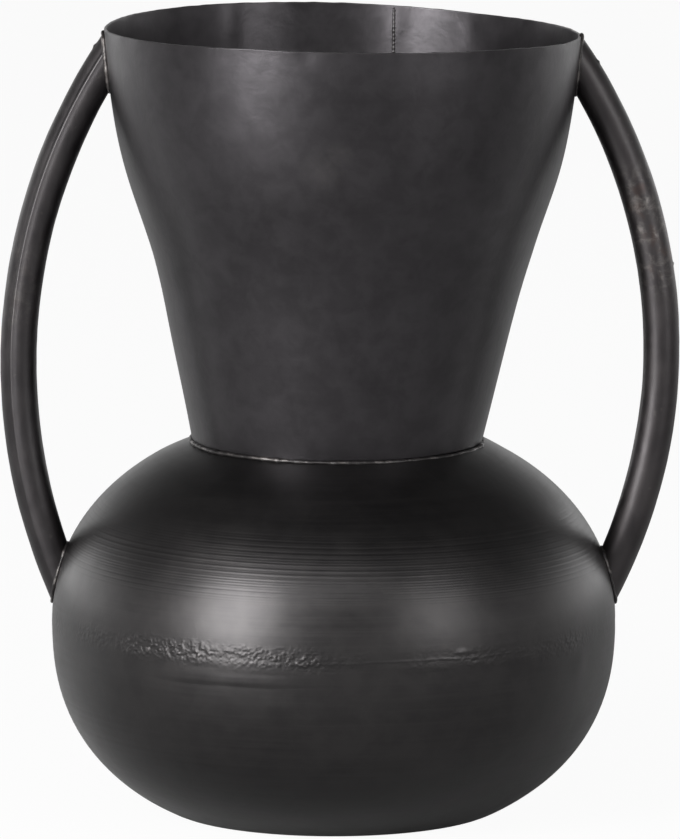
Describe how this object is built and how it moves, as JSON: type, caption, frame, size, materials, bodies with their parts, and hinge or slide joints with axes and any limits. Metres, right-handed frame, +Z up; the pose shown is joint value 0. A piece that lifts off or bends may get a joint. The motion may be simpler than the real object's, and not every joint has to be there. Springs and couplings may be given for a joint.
{
  "type": "metal vase with tube handles",
  "caption": "Tall open vase of blackened sheet metal: squat round belly, flaring tulip neck welded on top, and a bent tube handle on each side from rim to belly.",
  "frame": {"origin": "centre of the flat base, on the surface that the vase stands on", "axes": "+Z up through the mouth, +X towards the right handle, -Y towards the side that the picture shows"},
  "size_m": [0.4122, 0.3446, 0.4798],
  "materials": {
    "blackened_sheet": "satin blackened sheet, faint brown mottling and fine spinning rings",
    "blackened_tube": "satin blackened tube with lengthwise rub marks",
    "weld_metal": "rough blackened weld bead, bright where it is rubbed"
  },
  "bodies": {
    "root": {"neck": "blackened_sheet", "neck_seam_weld": "weld_metal", "neck_weld": "weld_metal", "upper_shell": "blackened_sheet", "belly_weld": "weld_metal", "lower_shell": "blackened_sheet", "left_handle": "blackened_tube", "left_handle_top_weld": "weld_metal", "left_handle_foot_weld": "weld_metal", "right_handle": "blackened_tube", "right_handle_top_weld": "weld_metal", "right_handle_foot_weld": "weld_metal"}
  },
  "joints": []
}
